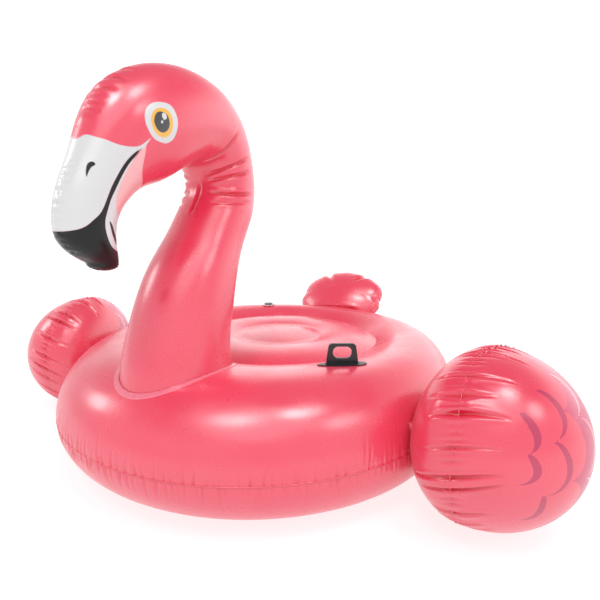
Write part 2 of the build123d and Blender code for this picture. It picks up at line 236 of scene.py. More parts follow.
def rangeNode(tree, value, low, high, toLow=0.0, toHigh=1.0):
    node = tree.nodes.new("ShaderNodeMapRange")
    link(tree, value, node.inputs["Value"])
    for socket, number in zip(("From Min", "From Max", "To Min", "To Max"), (low, high, toLow, toHigh)):
        node.inputs[socket].default_value = number
    return node.outputs["Result"]


def attributeNode(tree, name):
    node = tree.nodes.new("ShaderNodeAttribute")
    node.attribute_name = name
    return node.outputs["Fac"]


vinyl = {
    "pink": (0.80, 0.034, 0.090, 1),
    "foldShadePink": (0.70, 0.008, 0.030, 1),      # painted shade in the folds
    "pinkPale": (0.88, 0.34, 0.38, 1),
    "beakPale": (0.88, 0.42, 0.44, 1),
    "white": (0.66, 0.66, 0.67, 1),
    "black": (0.006, 0.006, 0.007, 1),
    "feather": (0.50, 0.004, 0.075, 1),
    "featherSoft": (0.60, 0.012, 0.100, 1),
    "featherPale": (0.86, 0.30, 0.36, 1),
    "yellow": (0.86, 0.44, 0.035, 1),
    "charcoal": (0.010, 0.011, 0.013, 1),
    "roughness": 0.26,
    "specular": 1.0,
    "blackSpecular": 0.30,
    "sheen": 0.08,
    "sheenRoughness": 0.45,
    "ior": 1.58,
    "printEdge": 0.0007,       # half width of a print's soft edge
    "cloudScale": 3.2,         # broad pale clouds in the colour
    "cloudStrength": 0.10,
    "dullScale": 9.0,          # patches that shine a little less
    "rippleScale": 14.0,
    "grainScale": 260.0,
    "grainShare": 0.01,
    "bumpStrength": 0.05,
    "bumpDistance": 0.004,
}


def vinylMaterial(name, prints=(), base=None):
    # printed vinyl film; prints is a list of (attribute, colour), and each print lies where its
    # attribute is below nought
    material, tree, shader = newMaterial(name)
    broad = noiseNode(tree, vinyl["cloudScale"], 3.0)
    clouds = rangeNode(tree, broad.outputs["Fac"], 0.35, 0.7, 0.0, vinyl["cloudStrength"])
    colour = mixNode(tree, clouds, base or vinyl["pink"], vinyl["pinkPale"])
    # painted shade: the pink deepens where the folds are deep, and along the ring's weld line
    foldShade = attributeNode(tree, "foldShade")
    colour = mixNode(tree, rangeNode(tree, foldShade, 0.06, 0.75), colour, vinyl["foldShadePink"])
    for attribute, ink in prints:
        edge = vinyl["printEdge"]
        mask = rangeNode(tree, attributeNode(tree, attribute), edge, -edge)
        colour = mixNode(tree, mask, colour, ink)
        if ink == vinyl["black"]:
            link(tree, rangeNode(tree, mask, 0, 1, vinyl["specular"], vinyl["blackSpecular"]),
                 shader.inputs["Specular IOR Level"])
    link(tree, colour, shader.inputs["Base Color"])
    fine = noiseNode(tree, vinyl["grainScale"], 2.0)
    dull = rangeNode(tree, noiseNode(tree, vinyl["dullScale"], 4.0).outputs["Fac"], 0.3, 0.7,
                     vinyl["roughness"] - 0.05, vinyl["roughness"] + 0.07)
    link(tree, dull, shader.inputs["Roughness"])
    ripple = noiseNode(tree, vinyl["rippleScale"], 2.0)
    add = tree.nodes.new("ShaderNodeMath")
    add.operation = "MULTIPLY_ADD"
    link(tree, fine.outputs["Fac"], add.inputs[0])
    add.inputs[1].default_value = vinyl["grainShare"]
    link(tree, ripple.outputs["Fac"], add.inputs[2])
    bump = tree.nodes.new("ShaderNodeBump")
    bump.inputs["Strength"].default_value = vinyl["bumpStrength"]
    bump.inputs["Distance"].default_value = vinyl["bumpDistance"]
    link(tree, add.outputs[0], bump.inputs["Height"])
    link(tree, bump.outputs["Normal"], shader.inputs["Normal"])
    shader.inputs["Specular IOR Level"].default_value = vinyl["specular"]
    shader.inputs["IOR"].default_value = vinyl["ior"]
    shader.inputs["Sheen Weight"].default_value = vinyl["sheen"]
    shader.inputs["Sheen Roughness"].default_value = vinyl["sheenRoughness"]
    return material


def mouldedMaterial(name, colour, rough, grain=420.0):
    material, tree, shader = newMaterial(name)
    noise = noiseNode(tree, grain, 3.0)
    lighter = tuple(min(1.0, c * 1.35 + 0.006) for c in colour[:3]) + (1,)
    link(tree, mixNode(tree, noise.outputs["Fac"], colour, lighter), shader.inputs["Base Color"])
    link(tree, rangeNode(tree, noise.outputs["Fac"], 0.3, 0.7, rough - 0.06, rough + 0.08),
         shader.inputs["Roughness"])
    bump = tree.nodes.new("ShaderNodeBump")
    bump.inputs["Strength"].default_value = 0.15
    bump.inputs["Distance"].default_value = 0.0004
    link(tree, noise.outputs["Fac"], bump.inputs["Height"])
    link(tree, bump.outputs["Normal"], shader.inputs["Normal"])
    return material


weldMaterial = vinylMaterial("palePinkWeld", base=(0.82, 0.17, 0.24, 1))
blackMoulded = mouldedMaterial("blackMouldedVinyl", (0.014, 0.014, 0.016, 1), 0.36)
greyMoulded = mouldedMaterial("greyValvePlastic", (0.055, 0.055, 0.060, 1), 0.40)
milkyMoulded = mouldedMaterial("milkyValveVinyl", (0.72, 0.66, 0.66, 1), 0.28)
innerFilm = vinylMaterial("innerFilm", base=(0.80, 0.34, 0.40, 1))


def finishPiece(piece, material, body, nodes):
    piece.data.materials.clear()
    piece.data.materials.append(material)
    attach(piece, body)
    if nodes:
        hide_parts(*nodes)
    return piece


# the round raft: ring tube, deck roll and dome

ringLow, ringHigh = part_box("ring_top_sheet")
deckLow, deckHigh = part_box("deck_top_sheet")
raft = {
    "radius": (ringHigh[0] - ringLow[0]) / 2,
    "centreY": (ringHigh[1] + ringLow[1]) / 2,
    "crestZ": ringHigh[2],
    "seamZ": ringLow[2],
    "crestInset": 0.155,
    "deckRadius": (deckHigh[0] - deckLow[0]) / 2,
    "deckCentreY": (deckHigh[1] + deckLow[1]) / 2,
    "deckDrop": 0.044,
    "domeRadius": 0.165,
    "domeCreaseDrop": 0.032,
    "rollDrop": 0.018,
    "domeDrop": 0.015,
    "underLift": 0.030,
    "groundSink": 0.006,
    "around": 1440,           # mesh columns
    "puckers": {"spacing": 0.026, "width": 0.0042, "reach": 0.062, "depth": 0.0030},
    "longPuckers": {"spacing": 0.085, "width": 0.0050, "reach": 0.105, "depth": 0.0038},
}


def raftShift(radius):
    # smaller rings of the tube shift back towards the deck
    span = raft["radius"] - raft["deckRadius"]
    share = np.clip((raft["radius"] - radius) / span, 0, 1)
    return raft["centreY"] + (raft["deckCentreY"] - raft["centreY"]) * share


def topProfile():
    # radius and height from the side seam over the crest into the crease, then over the deck roll
    # and the dome
    crest = raft["radius"] - raft["crestInset"]
    turn = np.radians(90 * np.linspace(0, 1, 40) ** 1.15)
    tube = np.stack([crest + raft["crestInset"] * np.cos(turn),
                     raft["seamZ"] + (raft["crestZ"] - raft["seamZ"]) * np.sin(turn)], -1)
    share = np.linspace(0, 1, 13)[1:]
    slope = np.stack([crest - share * (crest - raft["deckRadius"]),
                      raft["crestZ"] - raft["deckDrop"] * share ** 2], -1)
    share = np.linspace(0, 1, 17)[1:]
    bow = 4 * share * (1 - share)
    line = -raft["deckDrop"] + (raft["deckDrop"] - raft["domeCreaseDrop"]) * share
    middle = -(raft["deckDrop"] + raft["domeCreaseDrop"]) / 2
    roll = np.stack([raft["deckRadius"] - share * (raft["deckRadius"] - raft["domeRadius"]),
                     raft["crestZ"] + line + bow * (-raft["rollDrop"] - middle)], -1)
    share = np.linspace(0, 1, 9)[1:-1]
    domeFall = (raft["domeCreaseDrop"] - raft["domeDrop"]) * (1 - share) ** 2
    dome = np.stack([raft["domeRadius"] * (1 - share),
                     raft["crestZ"] - raft["domeDrop"] - domeFall], -1)
    return np.concatenate([tube, slope, roll, dome])


def bottomProfile():
    crest = raft["radius"] - raft["crestInset"]
    turn = np.radians(90 * np.linspace(0, 1, 30)[1:] ** 1.1)
    deep = raft["seamZ"] + raft["groundSink"]
    tube = np.stack([crest + raft["crestInset"] * np.cos(turn),
                     raft["seamZ"] - deep * np.sin(turn)], -1)
    share = np.linspace(0, 1, 9)[1:]
    slope = np.stack([crest - share * (crest - raft["deckRadius"]),
                      -raft["groundSink"] + (raft["underLift"] + raft["groundSink"]) * share ** 2], -1)
    share = np.linspace(0, 1, 9)[1:]
    roll = np.stack([raft["deckRadius"] - share * (raft["deckRadius"] - raft["domeRadius"]),
                     raft["underLift"] - 0.006 * share - 4 * share * (1 - share) * 0.024], -1)
    share = np.linspace(0, 1, 5)[1:-1]
    dome = np.stack([raft["domeRadius"] * (1 - share), 0.003 + 0.021 * (1 - share) ** 2], -1)
    both = np.concatenate([tube, slope, roll, dome])
    both[:, 1] = np.maximum(both[:, 1], 0.0)
    return both


def raftGrid(profile, around):
    turn = np.linspace(0, 2 * np.pi, around, endpoint=False)
    radius = profile[:, 0][:, None]
    x = radius * np.cos(turn)[None]
    y = radius * np.sin(turn)[None] + raftShift(profile[:, 0])[:, None]
    z = np.repeat(profile[:, 1][:, None], around, axis=1)
    return np.stack([x, y, z], -1)


def makeRing(name, profile, columns, closed, seed):
    points = raftGrid(profile, columns)
    along = np.concatenate([[0], np.cumsum(np.hypot(*np.diff(profile, axis=0).T))])
    away = along[:, None]
    turn = np.linspace(0, 2 * np.pi, columns, endpoint=False)[None] * raft["radius"]
    total = 2 * np.pi * raft["radius"]
    depth = seamPuckers(turn, away, total, raft["puckers"], seed) + 0.6 * seamPuckers(
        turn, away, total, raft["longPuckers"], seed + 7)
    normal = rowNormals(points)
    outward = points - np.array([0, raft["deckCentreY"], raft["seamZ"]])
    normal *= np.sign((normal * outward).sum(-1))[len(along) // 2, 0]
    groove = weldGroove(away) * (away < 0.5)
    points = points - normal * (depth + groove)[..., None]
    points[..., 2] = np.maximum(points[..., 2], 0)
    points[0, :, 2] = profile[0, 1]
    piece = gridMesh(name, points, endPole=closed)
    faceOutwards(piece)
    # painted shade: deeper pink with the folds' depth, and a darker thin line along the weld
    seamLine = smooth(0.0030, 0.0012, away) * 0.8
    setAttribute(piece, "foldShade", np.clip(depth / 0.0075 + seamLine, 0, 1))
    return piece


def makeDeck(profile):
    columns = 360
    points = raftGrid(profile, columns)
    piece = gridMesh("deckTop", points, endPole=True)
    mesh = piece.data
    mesh.update()
    if sum(face.normal.z for face in mesh.polygons) < 0:
        mesh.flip_normals()
    setAttribute(piece, "foldShade", np.zeros(points.shape[:2]))
    return piece


raftVinyl = vinylMaterial("pinkRaftVinyl")
topLine = topProfile()
creaseLap = 0.001      # both sheets keep the row at the crease between them
ringLine = topLine[topLine[:, 0] > raft["deckRadius"] - creaseLap]
deckLine = topLine[topLine[:, 0] < raft["deckRadius"] + creaseLap]
finishPiece(makeRing("ringTop", ringLine, raft["around"], False, 3), raftVinyl, "raft",
            ["ring_top_sheet"])
finishPiece(makeDeck(deckLine), raftVinyl, "raft", ["deck_top_sheet"])
seamStart = np.array([[raft["radius"], raft["seamZ"]]])
underLine = np.concatenate([seamStart, bottomProfile()])
finishPiece(makeRing("ringBottom", underLine, raft["around"], True, 4), raftVinyl, "raft",
            ["ring_bottom_sheet", "deck_bottom_sheet"])
print("raft made")


# neck, head and beak: one hooked chamber

neck = {
    # place fore and aft of the raft's middle, height, tilt in degrees, half depth, half width
    "sections": [
        (-0.434, 0.300, 0, 0.166, 0.151), (-0.430, 0.380, -3, 0.158, 0.148),
        (-0.418, 0.450, -6, 0.146, 0.143), (-0.391, 0.535, -5, 0.140, 0.138),
        (-0.342, 0.650, -2, 0.128, 0.127), (-0.294, 0.722, -2, 0.119, 0.118),
        (-0.245, 0.798, 0, 0.116, 0.115), (-0.218, 0.872, 6, 0.108, 0.107),
        (-0.224, 0.932, 15, 0.108, 0.105), (-0.248, 0.985, 31, 0.114, 0.108),
        (-0.298, 1.026, 51, 0.125, 0.114), (-0.372, 1.038, 74, 0.134, 0.122),
        (-0.455, 1.023, 92, 0.140, 0.124), (-0.528, 0.992, 107, 0.133, 0.118),
        (-0.586, 0.949, 123, 0.114, 0.103), (-0.623, 0.900, 138, 0.091, 0.086),
        (-0.655, 0.852, 148, 0.077, 0.073), (-0.681, 0.806, 156, 0.072, 0.065),
        (-0.693, 0.759, 164, 0.070, 0.061), (-0.692, 0.719, 168, 0.067, 0.058),
        (-0.677, 0.689, 171, 0.056, 0.048), (-0.656, 0.667, 173, 0.036, 0.035),
    ],
    "rows": 510,
    "columns": 176,
    "tipRound": 0.016,        # how far the beak's end rounds over past its last section
    # short folds across the weld on the forehead: share of the way along, how deep, how far round
    "browFolds": [(0.726, 0.0034, 20), (0.747, 0.0056, 30), (0.766, 0.0060, 30), (0.7755, 0.0036, 24),
                  (0.7835, 0.0048, 27), (0.791, 0.0048, 26), (0.797, 0.0030, 22)],
    "browWidth": 0.0042,
    "bendWidth": 0.0050,
    "beakPuckers": {"spacing": 0.015, "width": 0.0034, "reach": 0.040, "depth": 0.0030},
    "beakStart": 0.845,
    # long folds at the bend, from the throat round each side: share along at three places, how deep
    "bendFolds": [((0.522, 0.527, 0.541), 0.0050), ((0.469, 0.477, 0.487), 0.0062),
                  ((0.451, 0.455, 0.461), 0.0054), ((0.423, 0.417, 0.415), 0.0070),
                  ((0.397, 0.396, 0.396), 0.0030)],
    "bendTurns": (160, 130, 90),
    "throatFold": (0.365, 0.450, 0.0042),
}

# prints on the head, as outlines seen from the side: fore and aft of the raft's middle, and height
beakPrint = {
    "brow": [(-0.800, 0.925), (-0.697, 0.943), (-0.692, 0.948), (-0.686, 0.944), (-0.675, 0.939),
             (-0.663, 0.933), (-0.648, 0.928), (-0.630, 0.927), (-0.610, 0.931), (-0.594, 0.943),
             (-0.583, 0.953)],
    "browBack": [(-0.583, 0.953), (-0.592, 0.938), (-0.600, 0.927), (-0.604, 0.921)],
    "mouth": [(-0.603, 0.929), (-0.617, 0.918), (-0.632, 0.903), (-0.647, 0.882), (-0.660, 0.859),
              (-0.670, 0.840), (-0.679, 0.819), (-0.687, 0.800), (-0.699, 0.780), (-0.714, 0.766),
              (-0.728, 0.754), (-0.742, 0.747), (-0.753, 0.744), (-0.762, 0.742), (-0.800, 0.738)],
    "mouthBack": [(-0.603, 0.929), (-0.614, 0.913), (-0.629, 0.894), (-0.643, 0.871), (-0.653, 0.851),
                  (-0.663, 0.830), (-0.672, 0.811), (-0.680, 0.787), (-0.686, 0.767), (-0.686, 0.748),
                  (-0.680, 0.727), (-0.669, 0.710), (-0.653, 0.700), (-0.610, 0.690)],
    "lineBack": [(-0.604, 0.921), (-0.626, 0.892), (-0.640, 0.866), (-0.649, 0.844), (-0.657, 0.818),
                 (-0.657, 0.801), (-0.645, 0.780), (-0.600, 0.750)],
    "paleBack": [(-0.594, 0.938), (-0.595, 0.909), (-0.593, 0.876), (-0.575, 0.852), (-0.540, 0.800)],
    "innerBlack": [(-0.674, 0.766), (-0.664, 0.755), (-0.657, 0.741), (-0.645, 0.722), (-0.650, 0.712),
                   (-0.664, 0.733), (-0.671, 0.750)],
    "nostril": [(-0.7150, 0.855), (-0.7137, 0.866), (-0.7105, 0.877), (-0.7068, 0.885),
                (-0.7010, 0.8895), (-0.6962, 0.8868), (-0.6968, 0.8822), (-0.7015, 0.8790),
                (-0.7055, 0.8740), (-0.7100, 0.866)],
}
eyePrint = {
    "white": [(-0.561, 1.0335), (-0.539, 1.035), (-0.524, 1.026), (-0.514, 0.997), (-0.521, 0.964),
              (-0.534, 0.950), (-0.551, 0.945), (-0.579, 0.953), (-0.595, 0.980), (-0.593, 1.007),
              (-0.579, 1.025)],
    "ring": [(-0.558, 1.021), (-0.536, 1.017), (-0.528, 0.992), (-0.534, 0.968), (-0.552, 0.957),
             (-0.572, 0.963), (-0.583, 0.985), (-0.576, 1.009)],
    "pupil": [(-0.558, 1.013), (-0.543, 1.009), (-0.537, 0.990), (-0.543, 0.974), (-0.556, 0.967),
              (-0.569, 0.972), (-0.576, 0.988), (-0.570, 1.006)],
    "glints": [(-0.550, 1.004, 0.0062, 0.0078), (-0.557, 0.990, 0.0032, 0.0036)],
}


def neckRows(at=None):
    sections = np.array(neck["sections"], float)
    knots = np.concatenate([[0], np.cumsum(np.hypot(*np.diff(sections[:, :2], axis=0).T))])
    if at is None:
        at = np.linspace(0, knots[-1], neck["rows"])
    rows = naturalSpline(knots, sections, at)
    rows[:, 0] += raft["centreY"]
    return rows, at, knots[-1]


def neckPoints(rows, turn, grow=0.0):
    tilt = np.radians(rows[:, 2])[:, None]
    across = (rows[:, 4][:, None] + grow) * np.sin(turn)[None]
    deep = (rows[:, 3][:, None] + grow) * np.cos(turn)[None]
    y = rows[:, 0][:, None] + deep * np.cos(tilt)
    z = rows[:, 1][:, None] + deep * np.sin(tilt)
    return np.stack([across, y, z], -1)


def makeNeck():
    turn = np.linspace(0, 2 * np.pi, neck["columns"], endpoint=False)
    rows, at, total = neckRows()
    points = neckPoints(rows, turn)
    # round the end of the beak over
    last = rows[-1]
    tilt = math.radians(last[2])
    forward = np.array([0, -math.sin(tilt), math.cos(tilt)])
    caps = []
    for share in (0.35, 0.65, 0.87, 0.97):
        shrink = math.sqrt(1 - share ** 2)
        small = last.copy()
        small[3] *= shrink
        small[4] *= shrink
        caps.append(neckPoints(small[None], turn)[0] + forward * neck["tipRound"] * share)
    points = np.concatenate([points, np.array(caps)])
    at = np.concatenate([at, at[-1] + neck["tipRound"] * np.array([0.35, 0.65, 0.87, 0.97])])
    size = np.concatenate([rows[:, 3:5].mean(1), np.full(4, rows[-1, 3:5].mean())])
    share = (at / total)[:, None]
    turned = np.degrees(turn)[None]
    side = np.minimum(turned, 360 - turned)
    away = np.radians(side) * size[:, None]
    # folds across the weld, down the front of the beak and on the forehead
    depth = seamPuckers(at[:, None], away, total, neck["beakPuckers"], 11)
    depth = depth * smooth(0.0, 0.03, share - neck["beakStart"])
    for place, deep, reach in neck["browFolds"]:
        lean = 0.012 * np.sin(place * 900) * side / reach
        fade = np.clip(1 - side / reach, 0, 1) ** 0.8
        depth += creaseProfile((share - place - lean * 0.3) * total, neck["browWidth"], deep) * fade
    # long folds where the neck bends, from the throat round each side
    for places, deep in neck["bendFolds"]:
        line = np.interp(-side, [-t for t in neck["bendTurns"]], places)
        fade = smooth(166, 138, side) * smooth(76, 104, side)
        depth += creaseProfile((share - line) * total, neck["bendWidth"], deep) * fade
    low, high, deep = neck["throatFold"]
    fade = smooth(low, low + 0.02, share) * smooth(high, high - 0.02, share)
    depth += creaseProfile((turned - 176 + 260 * (share - low) * 0.1) * 0.002, 0.0045, deep) * fade
    normal = rowNormals(points)
    if normal[neck["rows"] // 8, 0, 1] < 0:
        normal = -normal
    points = points - normal * depth[..., None]
    piece = gridMesh("neckAndHead", points, startPole=True, endPole=True)
    faceOutwards(piece)
    # painted shade: deeper pink with the folds' depth
    setAttribute(piece, "foldShade", np.clip(depth / 0.006, 0, 1))
    side = np.stack([points[..., 1].ravel() - raft["centreY"], points[..., 2].ravel()], -1)
    addHeadPrints(piece, side)
    return piece


def addHeadPrints(piece, side):
    brow, mouth, back = (roundCurve(beakPrint[name]) for name in ("brow", "mouth", "mouthBack"))
    white = np.concatenate([brow, roundCurve(beakPrint["browBack"])[1:], mouth[1:]])
    black = np.concatenate([mouth, [(-0.83, 0.60), (-0.60, 0.60)], back[::-1]])
    lineBack = roundCurve(beakPrint["lineBack"])
    line = np.concatenate([back, [(-0.50, 0.69)], lineBack[::-1]])
    pale = np.concatenate([lineBack, [(-0.50, 0.74)], roundCurve(beakPrint["paleBack"])[::-1]])
    glints = np.min([(np.hypot((side[:, 0] - y) / wide, (side[:, 1] - z) / high) - 1) * wide
                     for y, z, wide, high in eyePrint["glints"]], axis=0)
    inks = {
        "inkWhite": np.minimum(outlineDistance(side, white), outlineDistance(side, line)),
        "inkPale": outlineDistance(side, pale),
        "inkBlack": np.minimum(outlineDistance(side, black),
                               np.minimum(outlineDistance(side, roundLoop(beakPrint["innerBlack"])),
                                          outlineDistance(side, roundLoop(beakPrint["nostril"])))),
        "inkEyeWhite": outlineDistance(side, roundLoop(eyePrint["white"])),
        "inkEyeRing": outlineDistance(side, roundLoop(eyePrint["ring"])),
        "inkPupil": outlineDistance(side, roundLoop(eyePrint["pupil"])),
        "inkGlint": glints,
    }
    for name, values in inks.items():
        setAttribute(piece, name, values)


neckPiece = makeNeck()
headInks = [
    ("inkPale", vinyl["beakPale"]), ("inkWhite", vinyl["white"]), ("inkBlack", vinyl["black"]),
    ("inkEyeWhite", vinyl["white"]), ("inkEyeRing", vinyl["yellow"]), ("inkPupil", vinyl["charcoal"]),
    ("inkGlint", vinyl["white"]),
]
finishPiece(neckPiece, vinylMaterial("printedHeadVinyl", headInks), "raft",
            ["neck_left_skin", "neck_right_skin"])
print("neck and head made")


# wings

rimPaths = []

wing = {
    "rim": (0.806, -0.145, 0.220),   # middle of the welded rim, fore and aft from the raft's middle
    "halfLength": 0.244,
    "halfHeight": 0.230,
    "outerDepth": 0.236,
    "innerDepth": 0.150,
    "sweep": 25.0,
    "rootGap": 0.006,
    "columns": 560,
    "rows": 84,
    # the weld runs a little out from the rim on the forward side
    "seamLift": 13.5,
    "beadEase": 6,            # places on each side over which the weld bead is evened out
    "bigFolds": {"spacing": 0.062, "width": 0.0060, "reach": 0.112, "depth": 0.0100, "lean": 0.40},
    "smallFolds": {"spacing": 0.019, "width": 0.0044, "reach": 0.050, "depth": 0.0030, "lean": 0.40},
}

# feathers printed round the wing's rear end: angle from the rear tip, at places round it in degrees
feather = {
    # each row: places round of its notches, angle from the tip at the notches and at the bulges between
    "rows": [
        {"round": (45, 20, -1), "notch": (121, 127, 137),
         "bulge": (117, 121.5), "thick": 3.4, "line": 0.55},
        {"round": (52, 23, -8, -30), "notch": (106, 112, 119, 126),
         "bulge": (97, 103, 116), "thick": 2.6, "line": 0.75},
    ],
    "tip": {"round": (96, 68, 36, -1, -33, -62, -96), "notch": (84, 90, 98, 104, 109, 106, 100),
            "bulge": (76, 84, 89, 91, 90, 88)},
    "paleRows": [
        {"round": (58, 30, -4, -34), "notch": (88, 90, 92, 92),
         "bulge": (75, 72, 74), "thick": 2.6, "line": 0.4},
        {"round": (80, 46, 12, -20, -52), "notch": (66, 66, 66, 66, 66),
         "bulge": (54, 52, 52, 54), "thick": 2.2, "line": 0.4},
    ],
    "metresPerDegree": 0.0041,
}


def scallopLine(around, row, thick=0.0):
    # angle from the wing's tip of a row of scallops, at places round it
    line = np.full(np.shape(around), 999.0)
    for k, bulge in enumerate(row["bulge"]):
        high, low = row["round"][k], row["round"][k + 1]
        u = (around - low) / (high - low)
        inside = (u >= 0) & (u <= 1)
        ends = row["notch"][k + 1] + (row["notch"][k] - row["notch"][k + 1]) * u
        arch = np.sqrt(np.clip(1 - (2 * u - 1) ** 2, 0, 1))
        line = np.where(inside, ends + (bulge + thick - ends) * arch, line)
    return line


def rowInk(tipAngle, around, row):
    outer, inner = scallopLine(around, row), scallopLine(around, row, row["thick"])
    middle = (outer + inner) / 2
    half = (inner - outer) / 2 + row["line"]
    ink = np.abs(tipAngle - middle) - half
    return np.where(outer > 900, 9.0, ink)


def addFeatherPrints(piece, unit):
    tipAngle = np.degrees(np.arccos(np.clip(unit[..., 1], -1, 1)))
    around = np.degrees(np.arctan2(unit[..., 2], unit[..., 0]))
    scale = feather["metresPerDegree"]
    lines = np.min([rowInk(tipAngle, around, row) for row in feather["rows"]], axis=0)
    setAttribute(piece, "inkFeather", lines * scale)
    # the tip's print goes all the way round: past the ends the same scallops repeat on the inner side
    turned = np.where(np.abs(around) > 96, np.sign(around) * (192 - np.abs(around)), around)
    tip = tipAngle - scallopLine(turned, feather["tip"])
    setAttribute(piece, "inkTip", tip * scale)
    pale = np.min([rowInk(tipAngle, turned, row) for row in feather["paleRows"]], axis=0)
    setAttribute(piece, "inkTipLine", pale * scale)


def crossFolds(along, away, total, look, seed):
    # folds that cross a weld and taper off on both sides; away is less than nought on one side
    rng = np.random.default_rng(seed)
    count = max(3, int(round(total / look["spacing"])))
    places = (np.arange(count) + rng.uniform(-0.3, 0.3, count)) * total / count
    depth = np.zeros(np.broadcast(along, away).shape)
    for place in places:
        wide = look["width"] * rng.uniform(0.75, 1.3)
        deep = look["depth"] * rng.uniform(0.45, 1.25)
        bow = rng.uniform(-0.5, 0.5)
        apart = along - place + look["lean"] * away - bow * away * away
        apart = (apart + total / 2) % total - total / 2
        for side in (-1, 1):
            reach = look["reach"] * rng.uniform(0.6, 1.15)
            fade = np.clip(1 - np.abs(away) / reach, 0, 1) ** 0.9 * (away * side >= 0)
            slim = wide * (0.45 + 0.55 * fade)
            depth += deep * fade * creaseProfile(apart, slim, 1.0)
    return depth


def makeWing(side, seed):
    columns, half = wing["columns"], wing["rows"]
    turn = np.linspace(0, 2 * np.pi, columns, endpoint=False)
    outer = np.radians(90 * (1 - np.linspace(0, 1, half + 1)[:-1]))     # inner pole to rim
    lift = np.concatenate([-outer, [0], outer[::-1]])[1:-1]
    depth = np.where(lift < 0, wing["innerDepth"], wing["outerDepth"])[:, None]
    local = np.stack([
        depth * np.sin(lift)[:, None] * np.ones(columns)[None],
        wing["halfLength"] * np.cos(lift)[:, None] * np.cos(turn)[None],
        wing["halfHeight"] * np.cos(lift)[:, None] * np.sin(turn)[None]], -1)
    step = np.linalg.norm(np.diff(local, axis=0), axis=-1).mean(1)
    along = np.concatenate([[0], np.cumsum(step)])
    rimRow = half - 1
    around = turn[None] * (wing["halfLength"] + wing["halfHeight"]) / 2
    total = 2 * np.pi * (wing["halfLength"] + wing["halfHeight"]) / 2
    fromFront = np.abs(np.degrees((turn + np.pi) % (2 * np.pi) - np.pi))
    seam = wing["seamLift"] * smooth(100, 165, fromFront)
    away = (along - along[rimRow])[:, None] - np.radians(seam)[None] * wing["halfLength"]
    folds = crossFolds(around, away, total, wing["bigFolds"], seed)
    folds += crossFolds(around, away, total, wing["smallFolds"], seed + 1)
    folds += weldGroove(away)
    size = local.shape[:2]
    unit = local / np.stack([np.broadcast_to(depth, size), np.full(size, wing["halfLength"]),
                             np.full(size, wing["halfHeight"])], -1)
    normal = rowNormals(local)
    if normal[-3, 0, 0] < 0:
        normal = -normal
    local = local - normal * folds[..., None]
    sweep = math.radians(wing["sweep"])
    x = local[..., 0] * math.cos(sweep) + local[..., 1] * math.sin(sweep) + wing["rim"][0]
    y = -local[..., 0] * math.sin(sweep) + local[..., 1] * math.cos(sweep) + wing["rim"][1]
    z = np.maximum(local[..., 2] + wing["rim"][2], 0)
    # the inner panel lies against the raft's side
    x = np.maximum(x, wingLimit(y, z))
    points = np.stack([x * side, y + raft["centreY"], z], -1)
    # the bead runs straight across the folds
    ease = wing["beadEase"]
    rim = np.stack([[np.interp(0, away[:, k], points[:, k, axis]) for axis in range(3)]
                    for k in range(0, columns, 2)])
    rimPaths.append(sum(np.roll(rim, k, axis=0) for k in range(-ease, ease + 1)) / (2 * ease + 1))
    piece = gridMesh(("left" if side > 0 else "right") + "Wing", points, startPole=True, endPole=True)
    faceOutwards(piece)
    # painted shade: deeper pink with the folds' depth
    setAttribute(piece, "foldShade", np.clip(folds / 0.008, 0, 1))
    addFeatherPrints(piece, unit)
    return piece


def wingLimit(y, z):
    # the raft's side, plus a gap, as seen by a wing: x at a place fore and aft and a height
    rise = np.where(z > raft["seamZ"], raft["crestZ"] - raft["seamZ"],
                    raft["seamZ"] + raft["groundSink"])
    share = np.clip(np.abs(z - raft["seamZ"]) / (rise + wing["rootGap"]), 0, 1)
    crest = raft["radius"] - raft["crestInset"]
    radius = crest + (raft["crestInset"] + wing["rootGap"]) * np.sqrt(1 - share ** 2)
    shift = raftShift(radius) - raft["centreY"]
    inside = radius ** 2 - (y - shift) ** 2
    hit = np.sqrt(np.maximum(inside, 0))
    return np.where(share < 1, hit, -9)


wingMaterial = vinylMaterial("printedWingVinyl", [
    ("inkFeather", vinyl["feather"]), ("inkTip", vinyl["featherSoft"]),
    ("inkTipLine", vinyl["featherPale"])])
for side, name, seed in ((1, "left", 21), (-1, "right", 31)):
    skins = [name + "_wing_outer_skin", name + "_wing_inner_skin"]
    finishPiece(makeWing(side, seed), wingMaterial, "raft", skins)
print("wings made")


# tail

tail = {
    "centreY": 0.722,
    "centreZ": 0.392,
    "halfWidth": 0.214,
    "halfHeight": 0.156,
    "frontDepth": 0.072,
    "rearDepth": 0.062,
    "lean": 44.0,
    "columns": 360,
    "rows": 30,
    "puckers": {"spacing": 0.030, "width": 0.0042, "reach": 0.055, "depth": 0.0040},
    "spread": 1.02,           # the lobes reach this much further than the plain oval
    "notchDepth": 0.075,
    "notchFold": (0.011, 0.013),    # width and depth of the fold that runs in from a notch
    "notches": (-30, 30),     # degrees from the top of the fan
    "rootFold": (-0.095, 0.006, 0.010, 0.15),     # height on the fan, width, depth, half length
}


